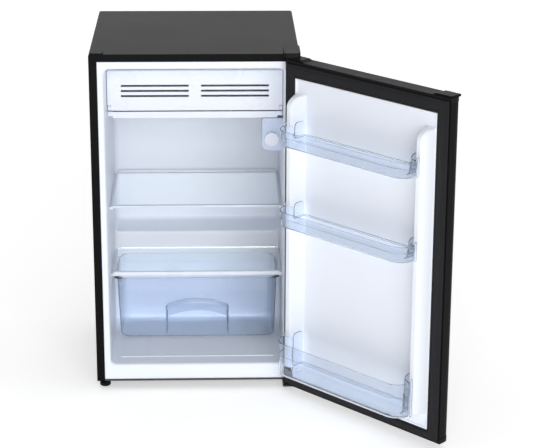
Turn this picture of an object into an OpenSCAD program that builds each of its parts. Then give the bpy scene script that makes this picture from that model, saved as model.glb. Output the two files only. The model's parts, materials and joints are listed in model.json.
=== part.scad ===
/* [Cabinet] */
// Width across the cabinet's sides
body_w = 480; // [472:1:500]
// Depth of the cabinet without its door
body_d = 450; // [446:1:470]
// Height of the cabinet above its feet
body_h = 804; // [800:1:840]
// Height of the feet
foot_h = 20; // [20:1:24]
// Insulated wall from a side face to the cavity
wall_t = 33.5; // [32:0.5:36]
// Thickness of the sheet steel
steel_t = 1; // [0.8:0.1:1.2]
// Thickness of the moulded liners
liner_t = 2; // [1.6:0.1:2.2]

/* [Door] */
// Door thickness from its inner face to its skin
door_t = 37.3; // [36:0.1:40]
// Angle at which the open door stands
door_open = 134; // [100:1:136]
// Height of the two ribs that carry the bins
rib_h = 41; // [38:1:42]
// Radius of the door's front edges
door_r = 20; // [14:1:22]

/* [Freezer] */
// Height of the flap's lower edge above the floor
flap_z = 662; // [658:0.5:664]
// Height of the flap
flap_h = 97.5; // [92:0.5:99]
// Height of the vent slots
vent_h = 5; // [3:0.5:6]

/* [Shelves] */
// Height of the upper shelf's glass above the floor
shelf_z = 425; // [400:1:450]
// Height of the lower shelf's glass above the floor
cover_z = 255; // [255:1:262]
// Thickness of the shelf glass
glass_t = 4; // [4:0.5:5]

/* [Hidden] */
$fn = 48;
run_fit = 0.05; // radial clearance of a pin that turns in a bore
slide_gap = 0.3; // clearance under a piece that slides

hw = body_w / 2;
front_y = -body_d / 2;
back_y = body_d / 2;
top_z = foot_h + body_h;
inner_hw = hw - steel_t;

// Front frame: flange of the shell, then the white lip of the liner
flange_w = 19;
mouth_hw = hw - flange_w;
lip_top_z = top_z - 18;
lip_bottom_z = foot_h + 5;
lip_y = front_y + steel_t;

// Cavity
cav_hw = hw - wall_t;
cav_floor = foot_h + 43;
cav_top = top_z - 36;
cav_back = back_y - 60;
hump_y = cav_back - 93;
hump_z = cav_floor + 234;
set_back = front_y + 110;

// Compressor bay behind the hump
pan_t = 1.5;
pan_top = foot_h + pan_t;
bay_y = hump_y + 38;
bay_z = hump_z - 63;

// Freezer flap, its frame and the drip tray
axis_y = set_back + 1;
axis_z = flap_z + 6.5;
flap_y = axis_y - 6;
flap_t = 12;
flap_hw = cav_hw - 1.5;
vent_z = flap_z + 33.5;
vent_pitch = 12.3;
flap_pin_r = 3;
ear_r = 6.5;
notch_hw = cav_hw - 9.8;
frame_y = axis_y + 9.2;
frame_back = frame_y + 6.8;
evap_hw = cav_hw - 10.5;
evap_back = cav_back - 10;
evap_low = flap_z + 3.5;
evap_high = cav_top - 23;
tray_top = flap_z - 3;
tray_h = 15;
tray_hw = cav_hw - 13.5;
tray_back = evap_back - 5;
rail_in = tray_hw + 2;

// Shelves and crisper
ledge_w = 7.5;
ledge_hw = cav_hw - ledge_w;
glass_hw = cav_hw - 5.5;
trim_d = 9;
ledge_y = set_back + trim_d + 0.5;
cover_back = hump_y - 4;
crisper_hw = 194;
crisper_z = cav_floor + 2 + slide_gap;
crisper_top = cover_z - 15;
crisper_back = hump_y - 12;
crisper_front = set_back + 5;
crisper_foot = crisper_front + 43;
crisper_t = 2.2;

// Thermostat
stat_in = cav_hw - 48.5;
stat_lo = [stat_in, set_back + 5, 561];
stat_hi = [cav_hw, set_back + 95, 640];
dial_x = stat_in + 22;
dial_z = 590;

// Door, drawn closed and then swung open
door_in = front_y - 6;
door_out = door_in - door_t;
door_low = foot_h + 1;
door_high = top_z - 6.5;
cap_h = 10;
cap_grow = 0.8;
skin_low = door_low + cap_h;
skin_high = door_high - cap_h - 1;
pivot = [hw - 12.5, door_in - 16];
return_w = 8;
margin = 34;
panel_low = door_low + 27;
panel_high = door_high - 37.5;
rib_low = panel_low + 32;
rib_high = panel_high - 33;
block_h = 4;

// Each bin: height of its floor, height of its wall, reach from the door's inner face,
// radius of its front corners
bins = [[644, 38, 90, 40], [454, 38, 90, 40], [88, 84, 90, 38]];
bin_hw = hw - 68;
bin_wall = 2.2;
bin_y = door_in + 8;
bin_step = bin_y + 35;
bin_back_h = 14;

// Hinges and feet
upper_screws = [[hw - 26, front_y + 18], [hw - 12, front_y + 28]];
lower_screws = [[hw - 28, front_y + 12], [hw - 28, front_y + 38]];
bracket_t = 2.5;
lower_bracket_t = 3;
hinge_pin_r = 4;
hinge_x = [hw - 34, hw - 2];
hinge_y = [pivot.y - 15, front_y + 35];
foot_x = hw - 18;
front_foot_y = front_y + 25;
rear_foot_y = back_y - 25;
foot_r = 13;
stud_r = 4;

// Cooling unit
comp = [60, (bay_y + back_y) / 2];
comp_r = 50;
comp_foot = [68, 42];
comp_bolts = [for (sx = [-1, 1], sy = [-1, 1]) [comp.x + sx * comp_foot.x, comp.y + sy * comp_foot.y]];
grommet_h = 14;
plate_z = pan_top + grommet_h;
coil_y = back_y + 18;
coil_r = 2.4;
coil_hw = 205;
coil_low = 300;
coil_rows = 11;
coil_pitch = 46;
coil_end = 262;
return_x = 222;
drier = [return_x, back_y - 25];
wire_r = 0.8;
gland_x = -150;
gland_z = pan_top + 12;

black = "#1c1c1e";
white = "#eef0f7";
clear_blue = "#b9cdea";

// ---- helpers ----

// Box from its lowest to its highest corner
module box(lo, hi) translate(lo) cube(hi - lo);

// Mirrors a piece to the other side as well
module both_sides() {
    children();
    mirror([1, 0, 0]) children();
}

// Points on an arc
function arc(c, r, a0, a1, n = 6) =
    [for (i = [0:n]) c + r * [cos(a0 + (a1 - a0) * i / n), sin(a0 + (a1 - a0) * i / n)]];

// Rectangle with round corners
function round_rect(lo, hi, r) = concat(
    arc([hi.x - r, hi.y - r], r, 0, 90),
    arc([lo.x + r, hi.y - r], r, 90, 180),
    arc([lo.x + r, lo.y + r], r, 180, 270),
    arc([hi.x - r, lo.y + r], r, 270, 360));

// Extrudes an outline of [y, z] points from x0 to x1
module prism_x(points, x0, x1)
    translate([x0, 0, 0]) rotate([90, 0, 90]) linear_extrude(x1 - x0) polygon(points);

// Extrudes an outline of [x, z] points from y0 to y1
module prism_y(points, y0, y1)
    translate([0, y1, 0]) rotate([90, 0, 0]) linear_extrude(y1 - y0) polygon(points);

// Extrudes an outline of [x, y] points from z0 to z1
module prism_z(points, z0, z1)
    translate([0, 0, z0]) linear_extrude(z1 - z0) polygon(points);

// Cylinders along each axis, from their lower end
module rod_x(p, r, h) translate(p) rotate([0, 90, 0]) cylinder(r = r, h = h);
module rod_y(p, r, h) translate(p) rotate([-90, 0, 0]) cylinder(r = r, h = h);
module rod_z(p, r, h) translate(p) cylinder(r = r, h = h);

function unit(v) = v / norm(v);
function side_of(d) = abs(d.z) > 0.5 ? [1, 0, 0] : [0, 0, 1];
function frame_at(o, x, y, z) = [
    [x.x, y.x, z.x, o.x],
    [x.y, y.y, z.y, o.y],
    [x.z, y.z, z.z, o.z],
    [0, 0, 0, 1]];

// Straight run of a pipe between two points
module pipe_run(a, b, r) {
    d = unit(b - a);
    s = side_of(d);
    multmatrix(frame_at(a, s, cross(d, s), d)) cylinder(r = r, h = norm(b - a));
}

// Quarter bend at corner c, arriving along a and leaving along b
module pipe_bend(c, a, b, r, bend)
    multmatrix(frame_at(c - bend * a + bend * b, -b, a, cross(a, b)))
        rotate_extrude(angle = 90) translate([bend, 0]) circle(r = r);

// Pipe through points joined by right angles
module pipe(p, r, bend) {
    last = len(p) - 1;
    for (i = [0:last - 1]) {
        d = unit(p[i + 1] - p[i]);
        pipe_run(p[i] + (i == 0 ? 0 : bend) * d, p[i + 1] - (i == last - 1 ? 0 : bend) * d, r);
    }
    for (i = [1:last - 1]) pipe_bend(p[i], unit(p[i] - p[i - 1]), unit(p[i + 1] - p[i]), r, bend);
}

// ---- cabinet ----

// Front outline of the folded shell, drawn in by t and open below
function shell_outline(t, low) = concat(
    [[-hw + t, low]], arc([-hw + 5, top_z - 5], 5 - t, 180, 90),
    arc([hw - 5, top_z - 5], 5 - t, 90, 0), [[hw - t, low]]);

module outer_shell() color(black)
    difference() {
        prism_y(shell_outline(0, foot_h), front_y, back_y);
        prism_y(shell_outline(steel_t, foot_h - 1), front_y + steel_t, back_y + 1);
        box([-mouth_hw, front_y - 1, foot_h - 1], [mouth_hw, front_y + 2, lip_top_z]);
        for (p = upper_screws) rod_z([p.x, p.y, top_z - 2], 2.1, 3);
    }

module back_panel() color(black)
    intersection() {
        prism_x([
            [bay_y - steel_t, pan_top], [bay_y, pan_top], [bay_y, bay_z], [back_y, bay_z],
            [back_y, top_z], [back_y - steel_t, top_z],
            [back_y - steel_t, bay_z + steel_t], [bay_y - steel_t, bay_z + steel_t]],
            -hw, hw);
        prism_y(shell_outline(steel_t, pan_top), bay_y - 2, back_y + 1);
    }

module base_pan() color("#26262a")
    difference() {
        union() {
            box([-inner_hw, front_y + steel_t, foot_h], [inner_hw, back_y, pan_top]);
            box([-mouth_hw, front_y, foot_h], [mouth_hw, front_y + pan_t, lip_bottom_z]);
            box([-inner_hw, back_y - pan_t, foot_h], [inner_hw, back_y, pan_top + 24]);
            both_sides() rod_z([foot_x, front_foot_y, foot_h], 8, 7.5);
        }
        both_sides() rod_z([foot_x, front_foot_y, foot_h - 1], stud_r + run_fit, 10);
        both_sides() rod_z([foot_x, rear_foot_y, foot_h - 1], 2.6, 4);
        for (p = comp_bolts) rod_z([p.x, p.y, foot_h - 1], 3.3, 4);
        for (p = lower_screws) rod_z([p.x, p.y, foot_h - 1], 2.5, 4);
        rod_y([gland_x, back_y - 3, gland_z], 7, 4);
    }

// Side outline of the cavity, grown by t
function cavity_outline(t) = [
    [lip_y - 1, cav_floor - t], [hump_y + t, cav_floor - t], [hump_y + t, hump_z - t],
    [cav_back + t, hump_z - t], [cav_back + t, cav_top + t], [lip_y - 1, cav_top + t]];

// Ledge on the right wall with its top at z
module ledge(z, y1, h = 8)
    box([ledge_hw, ledge_y, z - h], [cav_hw, y1, z]);

module inner_liner() color(white) {
    difference() {
        union() {
            box([-inner_hw + 7, lip_y, lip_bottom_z], [inner_hw - 7, lip_y + liner_t, top_z - 8]);
            intersection() {
                prism_x(cavity_outline(liner_t), -cav_hw - liner_t, cav_hw + liner_t);
                box([-hw, lip_y, 0], [hw, back_y, top_z]);
            }
        }
        prism_x(cavity_outline(0), -cav_hw, cav_hw);
    }
    both_sides() {
        ledge(shelf_z - glass_t - slide_gap, cav_back);
        ledge(cover_z - glass_t - slide_gap, hump_y);
        box([118, front_y + 49, cav_floor], [122, crisper_back, cav_floor + 2]);
    }
    box([-185, front_y + 45, cav_floor], [185, front_y + 49, cav_floor + 2]);
}

module cabinet_foam() color("#e8dfb6")
    difference() {
        prism_y(shell_outline(steel_t, pan_top), lip_y + liner_t, back_y - steel_t);
        intersection() {
            prism_x(cavity_outline(liner_t), -cav_hw - liner_t, cav_hw + liner_t);
            box([-hw, lip_y, 0], [hw, back_y, top_z]);
        }
        box([-hw, bay_y - steel_t, 0], [hw, back_y, bay_z + steel_t]);
        both_sides() rod_z([foot_x, front_foot_y, pan_top - 1], 9, 12);
    }

// ---- freezer compartment ----

module evaporator_box() color("#c9ccd1") {
    sheet = 1.5;
    difference() {
        box([-evap_hw, frame_back, evap_low], [evap_hw, evap_back, evap_high]);
        box([-evap_hw + sheet, frame_back - 1, evap_low + sheet],
            [evap_hw - sheet, evap_back - sheet, evap_high - sheet]);
    }
    for (x = [-150, -120]) rod_y([x, evap_back, evap_low + 60], 3, cav_back - evap_back);
}

module evaporator_spacers() color("#d9dce2")
    both_sides() for (y = [-60, 110]) rod_z([150, y, evap_high], 7, cav_top - evap_high);

module freezer_frame() color(white)
    difference() {
        union() {
            box([-cav_hw, frame_y, flap_z], [cav_hw, frame_back, cav_top]);
            both_sides() {
                box([notch_hw + 0.5, axis_y, axis_z - ear_r], [cav_hw - 2, frame_y, axis_z + ear_r]);
                rod_x([notch_hw + 0.5, axis_y, axis_z], ear_r, cav_hw - 2.5 - notch_hw);
            }
        }
        box([-evap_hw + 8, frame_y - 1, flap_z + 13], [evap_hw - 8, frame_back + 1, evap_high - 4]);
        both_sides() rod_x([notch_hw - 1, axis_y, axis_z], flap_pin_r + run_fit, 12);
    }

module freezer_flap() color(white) {
    difference() {
        prism_x(round_rect([flap_y, flap_z], [flap_y + flap_t, flap_z + flap_h], 3),
            -flap_hw, flap_hw);
        both_sides() {
            box([notch_hw, flap_y - 1, flap_z - 1], [hw, flap_y + flap_t + 1, axis_z + 7.3]);
            for (i = [0:2])
                box([14.5, flap_y - 1, vent_z + vent_pitch * i],
                    [173, flap_y + flap_t + 1, vent_z + vent_pitch * i + vent_h]);
        }
        box([-flap_hw + 12, flap_y + 3, flap_z + 18],
            [flap_hw - 12, flap_y + flap_t + 1, flap_z + flap_h - 6]);
    }
    both_sides() rod_x([notch_hw - 3, axis_y, axis_z], flap_pin_r, cav_hw - notch_hw);
}

module drip_tray() color("#e4eaf5") {
    t = 2;
    low = tray_top - tray_h;
    difference() {
        union() {
            box([-tray_hw, axis_y - 3, low], [tray_hw, tray_back, tray_top]);
            box([-tray_hw - 7, frame_back + 3, tray_top - 2.5], [tray_hw + 7, tray_back, tray_top]);
            box([-flap_hw, axis_y - 3, tray_top - 10], [flap_hw, axis_y + 1, tray_top]);
        }
        box([-tray_hw + t, axis_y + 1, low + t], [tray_hw - t, tray_back - t, tray_top + 1]);
    }
}

module drip_tray_rails() color(white)
    difference() {
        both_sides()
            box([rail_in, frame_back + 2, tray_top - 7.5], [cav_hw, tray_back + 2, tray_top - 2.8]);
        box([cav_hw - 5, -43, tray_top - 20], [cav_hw + 1, -37, tray_top]);
    }

// ---- thermostat ----

// Housing outline seen from the front, drawn in by t, with a large lower inner corner
function stat_outline(t) = concat(
    [[stat_hi.x, stat_hi.z - t]],
    arc([stat_lo.x + 6, stat_hi.z - 6], 6 - t, 90, 180),
    arc([stat_lo.x + 16, stat_lo.z + 16], 16 - t, 180, 270),
    [[stat_hi.x, stat_lo.z + t]]);

module thermostat_housing() color(white)
    difference() {
        prism_y(stat_outline(0), stat_lo.y, stat_hi.y);
        prism_y(stat_outline(2), stat_lo.y + 2, stat_hi.y - 2);
        rod_y([dial_x, stat_lo.y - 1, dial_z], 3 + run_fit, 4);
        rod_z([cav_hw - 3, -40, stat_hi.z - 3], 1.3, 4);
    }

module thermostat_body() color("#b8bcc2")
    difference() {
        box([dial_x - 14, stat_lo.y + 5, dial_z - 16], [dial_x + 14, stat_lo.y + 50, dial_z + 16]);
        rod_y([dial_x, stat_lo.y + 4, dial_z], 3 + run_fit, 12);
    }

module thermostat_dial() color("#dfe3ee") {
    difference() {
        rod_y([dial_x, stat_lo.y - 10, dial_z], 17, 9.7);
        for (a = [0:30:330]) translate([dial_x, 0, dial_z]) rotate([0, a, 0])
            rod_y([18.2, stat_lo.y - 11, 0], 2.6, 12);
    }
    rod_y([dial_x, stat_lo.y - 1, dial_z], 3, 15);
}

module thermostat_tube() color("#b87850")
    pipe([[cav_hw - 3, -40, dial_z + 20], [cav_hw - 3, -40, evap_low + 20],
        [evap_hw, -40, evap_low + 20]], 1, 3);

// ---- shelves and crisper ----

// C-shaped trim that grips the glass edge at its front, and stands over and under it by lips
module front_trim(z, over, under, r)
    difference() {
        prism_x(round_rect([set_back, z - glass_t - under], [set_back + trim_d, z + over], r),
            -glass_hw, glass_hw);
        box([-hw, set_back + 3, z - glass_t], [hw, set_back + trim_d + 1, z]);
    }

module shelf_glass(z, y1)
    box([-glass_hw, set_back + 3, z - glass_t], [glass_hw, y1, z]);

module upper_shelf_glass() color(clear_blue) shelf_glass(shelf_z, cav_back - 5);
module upper_shelf_front_trim() color(clear_blue) front_trim(shelf_z, 1.2, 1.2, 1);
module lower_shelf_glass() color(clear_blue) shelf_glass(cover_z, cover_back);
module lower_shelf_trim() color(white) front_trim(cover_z, 2.5, 4, 2.5);

module upper_shelf_rear_trim() color(white)
    difference() {
        box([-ledge_hw + 0.8, cav_back - 11, shelf_z - glass_t - 2],
            [ledge_hw - 0.8, cav_back - 2, shelf_z + 6]);
        box([-hw, cav_back - 12, shelf_z - glass_t], [hw, cav_back - 5, shelf_z]);
    }

// Side outline of the crisper drawer, drawn in by t
function crisper_outline(t, top) = [
    [crisper_foot + t * 1.1, crisper_z + t], [crisper_back - 5 - t, crisper_z + t],
    [crisper_back - t, top], [crisper_front + t, top]];

module crisper_drawer() color(clear_blue, 0.6)
    difference() {
        union() {
            prism_x(crisper_outline(0, crisper_top), -crisper_hw, crisper_hw);
            box([-crisper_hw - 7, crisper_front + 3, crisper_top - 2.5],
                [crisper_hw + 7, crisper_back, crisper_top]);
        }
        prism_x(crisper_outline(crisper_t, crisper_top + 1),
            -crisper_hw + crisper_t, crisper_hw - crisper_t);
    }

// Arched pull on the sloping front of the drawer, in the plane of that front
module crisper_pull() {
    half = 77;
    rise = 16;
    rim = 2.2;
    low = 14;
    spring = 100;
    crown = 20;
    band = 25;
    arch_r = (half * half + crown * crown) / (2 * crown);
    arch_z = spring + crown - arch_r;
    // Outline below an arch lowered by drop, between sides at x, down to z
    function arched(x, z, drop) = concat([[x, z]],
        arc([0, arch_z - drop], arch_r, 90 - asin(x / arch_r), 90 + asin(x / arch_r), 16), [[-x, z]]);
    color(clear_blue, 0.6) translate([0, crisper_foot, crisper_z])
        rotate([atan2(crisper_foot - crisper_front, crisper_top - crisper_z), 0, 0])
            difference() {
                intersection() {
                    prism_y(arched(half, low, 0), -rise, 0);
                    prism_x([[0, low], [0, 130], [-rise, 130], [-rise, low + 40]], -80, 80);
                }
                prism_y(arched(half - rim, low - 20, rim), -rise + rim, 2);
                prism_y(arched(half - rim, low - 20, band), -rise - 1, 2);
            }
}

// ---- door, drawn closed and swung about its pins ----

module swung() translate([pivot.x, pivot.y, 0]) rotate([0, 0, door_open])
    translate([-pivot.x, -pivot.y, 0]) children();

// Plan outline of the door, drawn in by t
function door_plan(t) = concat(
    [[hw - t, door_in - max(t, 0)], [-hw + t, door_in - max(t, 0)]],
    arc([-hw + door_r, door_out + door_r], door_r - t, 180, 270),
    arc([hw - door_r, door_out + door_r], door_r - t, 270, 360));

module door_skin() color(black) swung()
    difference() {
        prism_z(door_plan(0), skin_low, skin_high);
        prism_z(door_plan(steel_t), skin_low - 1, skin_high + 1);
        box([-hw + return_w, door_in - 2, skin_low - 1], [hw - return_w, door_in + 1, skin_high + 1]);
    }

// Raised block at one end of the top cap, ramped towards the middle
module cap_block()
    prism_y([[hw - 1, door_high - 1], [hw - 1, door_high + block_h - 1], [hw - 2, door_high + block_h],
        [hw - 42, door_high + block_h], [hw - 54, door_high], [hw - 54, door_high - 1]],
        door_out + 4, door_in - 3);

module door_top_cap() color(black) swung()
    difference() {
        union() {
            prism_z(door_plan(-cap_grow), skin_high, door_high);
            both_sides() cap_block();
        }
        box([-hw + 40, door_out + 4, skin_high - 1], [hw - 40, door_in - 4, door_high - 3]);
        rod_z([pivot.x, pivot.y, skin_high - 1], 6, 30);
    }

module door_bottom_cap() color(black) swung()
    difference() {
        prism_z(door_plan(-cap_grow), door_low, skin_low);
        box([-hw + 40, door_out + 4, door_low + 3], [hw - 40, door_in - 4, skin_low + 1]);
        rod_z([pivot.x, pivot.y, door_low - 1], 6, 30);
    }

// Section of the right-hand rib as [x, y] points, drawn in by t
function rib_plan(t) = [
    [hw - margin - t, door_in - t * 2], [hw - margin - 10 - t, door_in + rib_h - t],
    [hw - margin - 22 + t, door_in + rib_h - t], [hw - margin - 32 + t, door_in - t * 2]];

// Side outline of a rib as [y, z] points
function rib_side(t) = concat(
    [[door_in - t * 2, rib_low + t], [door_in + rib_h - t, rib_low + 12 + t]],
    arc([door_in + rib_h - 22, rib_high - 22], 22 - t, 0, 90, 8),
    [[door_in - t * 2, rib_high - t]]);

module rib(t)
    intersection() {
        prism_z(rib_plan(t), rib_low, rib_high);
        prism_x(rib_side(t), -hw, hw);
    }

module door_foam() color("#e8dfb6") swung() {
    prism_z(door_plan(steel_t), skin_low, skin_high);
    box([-hw + return_w, door_in - steel_t, skin_low], [hw - return_w, door_in, skin_high]);
    both_sides() intersection() {
        rib(liner_t);
        box([0, door_in - 1, 0], [hw, 0, top_z]);
    }
}

// Lug on a rib's inner wall that a bin rests on
module bin_lug(z) box([hw - 72, door_in + 14, z - 6], [hw - 57, door_in + 30, z]);

module door_liner() color(white) swung()
    difference() {
        union() {
            box([-hw + margin, door_in, panel_low], [hw - margin, door_in + liner_t, panel_high]);
            both_sides() {
                intersection() {
                    rib(0);
                    box([0, door_in, 0], [hw, 0, top_z]);
                }
                for (b = bins) bin_lug(b[0] - slide_gap);
            }
        }
        both_sides() rib(liner_t);
    }

// Rectangular ring on the door's inner face, between two insets
module door_ring(outer, inner, p0, p1)
    difference() {
        box([-hw + outer, door_in + p0, door_low + outer], [hw - outer, door_in + p1, panel_high + margin - outer]);
        box([-hw + inner, door_in + p0 - 1, panel_low - margin + inner],
            [hw - inner, door_in + p1 + 1, panel_high + margin - inner]);
    }

module door_gasket() color("#3a3b3f") swung()
    difference() {
        union() {
            door_ring(4, 31, 0, 3.2);
            door_ring(9, 27, 3.2, 5.6);
        }
        magnet_bars();
    }

// Four bars inside the gasket: two upright, two across
module magnet_bars() {
    both_sides() box([hw - 22, door_in + 2, door_low + 12], [hw - 14, door_in + 4.6, panel_high + 20]);
    for (z = [door_low + 12, panel_high + 12])
        box([-hw + 22, door_in + 2, z], [hw - 22, door_in + 4.6, z + 8]);
}

module gasket_magnets() color("#5a4a3c") swung() magnet_bars();

// Bush of a hinge pin in a door cap
module bush(z0, z1)
    difference() {
        rod_z([pivot.x, pivot.y, z0], 6, z1 - z0);
        rod_z([pivot.x, pivot.y, z0 - 1], hinge_pin_r + run_fit, z1 - z0 + 2);
    }

module upper_hinge_bush() color("#d8d8d8") swung() bush(skin_high, door_high + block_h);
module lower_hinge_bush() color("#d8d8d8") swung() bush(door_low, skin_low);

// Plan of a bin, drawn in by t: a box between the ribs, and a wider round-cornered front
module bin_plan(b, t) {
    r = b[3];
    front = door_in + b[2];
    corner = [hw - 46 - r, front - r];
    translate([-bin_hw + t, bin_y + t]) square([2 * (bin_hw - t), corner.y - bin_y]);
    intersection() {
        union() {
            for (s = [-1, 1]) translate([s * corner.x, corner.y]) circle(r = r - t);
            translate([-corner.x, bin_y]) square([2 * corner.x, front - t - bin_y]);
        }
        translate([-hw, bin_step + t]) square([2 * hw, b[2]]);
    }
}

// Round-topped plate that closes a bin's end beside the rib
module bin_lobe(b, r = 11) {
    top = b[0] + b[1] - 2;
    prism_x(concat([[bin_y, b[0] + 4], [bin_step, b[0] + 4]],
        arc([bin_step - r, top], r, 0, 90), arc([bin_y + r, top], r, 90, 180)), bin_hw - bin_wall, bin_hw);
}

module door_bin(b) color(clear_blue, 0.6) swung() {
    difference() {
        translate([0, 0, b[0]]) linear_extrude(b[1]) bin_plan(b, 0);
        translate([0, 0, b[0] + bin_wall]) linear_extrude(b[1]) bin_plan(b, bin_wall);
        box([-hw, door_in, b[0] + bin_back_h], [hw, bin_step - 1, top_z]);
    }
    both_sides() bin_lobe(b);
}

module bin_upper() door_bin(bins[0]);
module bin_middle() door_bin(bins[1]);
module bin_lower() door_bin(bins[2]);

// ---- hinges ----

module upper_hinge_bracket() color("#9a9da3")
    difference() {
        prism_z(round_rect([hinge_x[0], hinge_y[0]], [hinge_x[1], hinge_y[1]], 5), top_z, top_z + bracket_t);
        rod_z([pivot.x, pivot.y, top_z - 1], hinge_pin_r, 5);
        for (p = upper_screws) rod_z([p.x, p.y, top_z - 1], 2.1, 5);
    }

module upper_hinge_pin() color("#c4c6ca")
    rod_z([pivot.x, pivot.y, skin_high + 3], hinge_pin_r, top_z + bracket_t - skin_high - 3);

module upper_hinge_screws() color("#c4c6ca") for (p = upper_screws) {
    rod_z([p.x, p.y, top_z - steel_t], 2.1, steel_t + bracket_t);
    rod_z([p.x, p.y, top_z + bracket_t], 4, 2.5);
}

module upper_hinge_cover() color(black)
    difference() {
        prism_z(round_rect([hw - 37, pivot.y - 18], [hw, front_y + 38], 6), top_z, top_z + 11);
        prism_z(round_rect([hw - 35, pivot.y - 16], [hw - 2, front_y + 36], 5), top_z - 1, top_z + 9);
    }

module left_corner_cap() color(black)
    prism_z(round_rect([-hw + 2, front_y + 1], [-hw + 33, front_y + 34], 6), top_z, top_z + 2.5);

module lower_hinge_bracket() color("#3c3d40")
    difference() {
        prism_z(round_rect([hw - 36, hinge_y[0]], [hw - 1, front_y + 46], 5), foot_h - lower_bracket_t, foot_h);
        rod_z([pivot.x, pivot.y, foot_h - 5], hinge_pin_r, 8);
        rod_z([foot_x, front_foot_y, foot_h - 5], stud_r + 0.6, 8);
        for (p = lower_screws) rod_z([p.x, p.y, foot_h - 5], 2.5, 8);
    }

module lower_hinge_pin() color("#c4c6ca")
    rod_z([pivot.x, pivot.y, foot_h - lower_bracket_t], hinge_pin_r, skin_low - foot_h + 2);

module lower_hinge_screws() color("#c4c6ca") for (p = lower_screws) {
    rod_z([p.x, p.y, foot_h - lower_bracket_t], 2.5, lower_bracket_t + pan_t);
    rod_z([p.x, p.y, foot_h - lower_bracket_t - 2], 4, 2);
}

module lower_hinge_washer() color("#e0e0e0")
    difference() {
        rod_z([pivot.x, pivot.y, foot_h], 8, 0.9);
        rod_z([pivot.x, pivot.y, foot_h - 1], hinge_pin_r, 3);
    }

// ---- feet ----

// Levelling foot: ribbed pad and threaded stud
module levelling_foot(x) color(black) translate([x, front_foot_y, 0]) {
    rotate_extrude() polygon([[0, 0], [foot_r - 2, 0], [foot_r, 2], [foot_r, 9], [foot_r - 3, 12], [0, 12]]);
    rod_z([0, 0, 11], stud_r, 19);
}

module front_foot_left() levelling_foot(-foot_x);
module front_foot_right() levelling_foot(foot_x);

module rear_feet() color(black) for (s = [-1, 1]) translate([s * foot_x, rear_foot_y, 0])
    difference() {
        rotate_extrude()
            polygon([[0, 0], [foot_r - 2, 0], [foot_r, 2], [foot_r - 2, foot_h], [0, foot_h]]);
        rod_z([0, 0, 6], 2.5, foot_h);
    }

module rear_foot_screws() color("#c4c6ca") for (s = [-1, 1]) translate([s * foot_x, rear_foot_y, 0]) {
    rod_z([0, 0, 8], 2.5, pan_top - 8);
    rod_z([0, 0, pan_top], 5, 2.5);
}

// ---- cooling unit ----

module compressor() color("#232326") {
    translate([comp.x, comp.y, plate_z + 2.5])
        rotate_extrude() polygon(concat([[0, 0]], arc([comp_r - 18, 18], 18, 270, 360),
            [[comp_r, 62], [comp_r + 3, 62], [comp_r + 3, 68], [comp_r, 68]],
            arc([comp_r - 26, 120], 26, 0, 90), [[0, 146]]));
    difference() {
        prism_z(round_rect(comp - comp_foot - [9, 9], comp + comp_foot + [9, 9], 8), plate_z, plate_z + 2.5);
        for (p = comp_bolts) rod_z([p.x, p.y, plate_z - 1], 3.3, 5);
    }
}

module compressor_grommets() color("#1a1a1a") for (p = comp_bolts)
    difference() {
        rod_z([p.x, p.y, pan_top], 9, grommet_h);
        rod_z([p.x, p.y, pan_top - 1], 3.3, grommet_h + 2);
    }

module compressor_bolts() color("#c4c6ca") for (p = comp_bolts) {
    rod_z([p.x, p.y, foot_h - 5], 3, plate_z - foot_h + 16);
    translate([p.x, p.y, foot_h - 5]) cylinder(r = 5.8, h = 5, $fn = 6);
    translate([p.x, p.y, plate_z + 2.5]) cylinder(r = 5.8, h = 5, $fn = 6);
}

module starter_cover() color(black)
    difference() {
        box([comp.x - comp_r - 36, comp.y - 26, 80], [comp.x - 20, comp.y + 26, 98]);
        rod_z([comp.x, comp.y, 70], comp_r, 60);
    }

module suction_pipe() color("#b87850")
    pipe([[comp.x + comp_r, comp.y, 130], [comp.x + 82, comp.y, 130], [comp.x + 82, comp.y, bay_z]], 4, 12);

module discharge_pipe() color("#b87850")
    pipe([[comp.x - comp_r, comp.y, 130], [-coil_hw, comp.y, 130], [-coil_hw, coil_y, 130],
        [-coil_hw, coil_y, coil_end]], coil_r, 15);

module filter_drier() color("#b87850") {
    rod_z([drier.x, drier.y, 95], 9, 80);
    rod_z([drier.x, drier.y, 88], 4.5, 94);
}

module liquid_pipe() color("#b87850")
    pipe([[return_x, coil_y, coil_end], [return_x, coil_y, 210], [return_x, drier.y, 210],
        [return_x, drier.y, 182]], coil_r, 12);

module capillary_tube() color("#b87850")
    pipe([[drier.x, drier.y, 88], [drier.x, drier.y, 64], [170, drier.y, 64], [170, drier.y, bay_z]], 1.2, 8);

// Corner points of the condenser: rows that alternate, then the return down one side
function coil_row(i) = i % 2 == 0
    ? [[-coil_hw, coil_y, coil_low + i * coil_pitch], [coil_hw, coil_y, coil_low + i * coil_pitch]]
    : [[coil_hw, coil_y, coil_low + i * coil_pitch], [-coil_hw, coil_y, coil_low + i * coil_pitch]];

module condenser() color(black) {
    last = coil_rows - 1;
    rows = [for (i = [0:last], p = coil_row(i)) p];
    body = [for (i = [0:len(rows) - 2]) rows[i]];
    pipe(concat([[-coil_hw, coil_y, coil_end]], body,
        [[return_x, coil_y, coil_low + last * coil_pitch], [return_x, coil_y, coil_end]]), coil_r, 14);
}

module condenser_wires() color(black)
    for (x = [-195:15:195])
        rod_z([x, coil_y + coil_r + wire_r + run_fit, coil_low - 10], wire_r, (coil_rows - 1) * coil_pitch + 20);

module condenser_brackets() color(black)
    both_sides() for (i = [1, coil_rows - 2])
        difference() {
            box([160, back_y, coil_low + i * coil_pitch - 8], [180, coil_y, coil_low + i * coil_pitch + 8]);
            rod_x([150, coil_y, coil_low + i * coil_pitch], coil_r + run_fit, 40);
        }

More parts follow.
